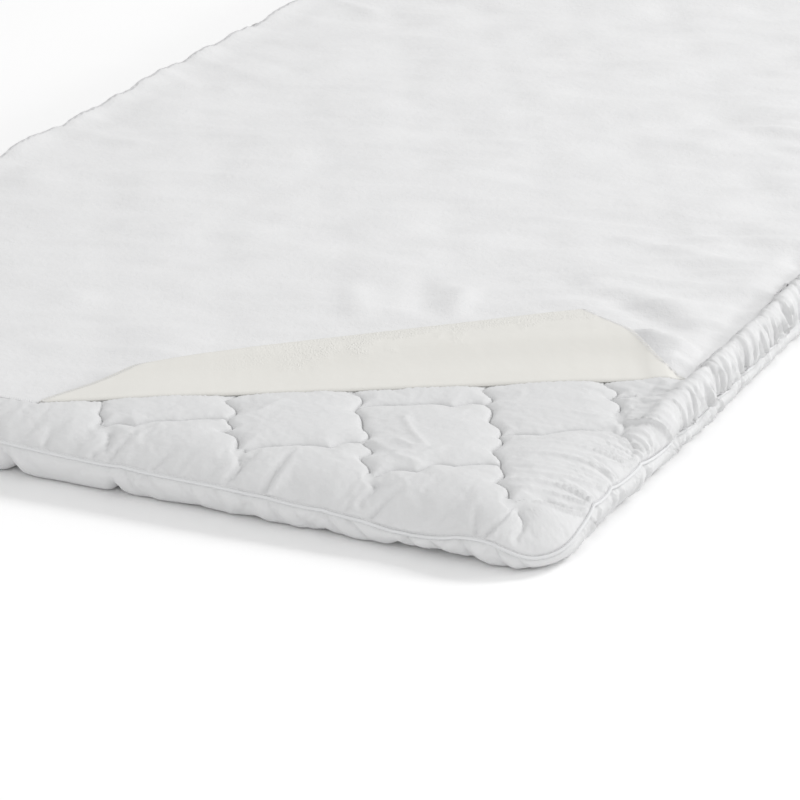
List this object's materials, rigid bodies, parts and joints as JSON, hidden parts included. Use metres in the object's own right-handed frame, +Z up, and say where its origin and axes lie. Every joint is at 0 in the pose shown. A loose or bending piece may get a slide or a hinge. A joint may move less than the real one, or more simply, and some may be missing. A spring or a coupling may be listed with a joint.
{
  "type": "waterproof mattress protector on a quilted mattress pad",
  "caption": "Thin waterproof sheet of coated cloth, one corner turned back, laid over a quilted mattress pad with a piped edge seam.",
  "frame": {"origin": "middle of the pad's flat underside", "axes": "+X across the pad, towards the side where the corner is turned back; +Y along the pad, away from that end; +Z up"},
  "size_m": [0.9, 2, 0.0819],
  "materials": {
    "pad_cover": "white plain-weave microfibre cover, quilted in scalloped cells over soft filling, gathered at the edge",
    "edge_piping": "the cover's own white cloth sewn round a thin cord, a row of stitches on each side",
    "coated_cloth": "brushed matt white cloth, its underside coated with a smooth cream waterproof film, edges overlocked in white thread"
  },
  "bodies": {
    "root": {"quilted_pad": "pad_cover", "edge_piping": "edge_piping", "waterproof_sheet": "coated_cloth"}
  },
  "joints": []
}
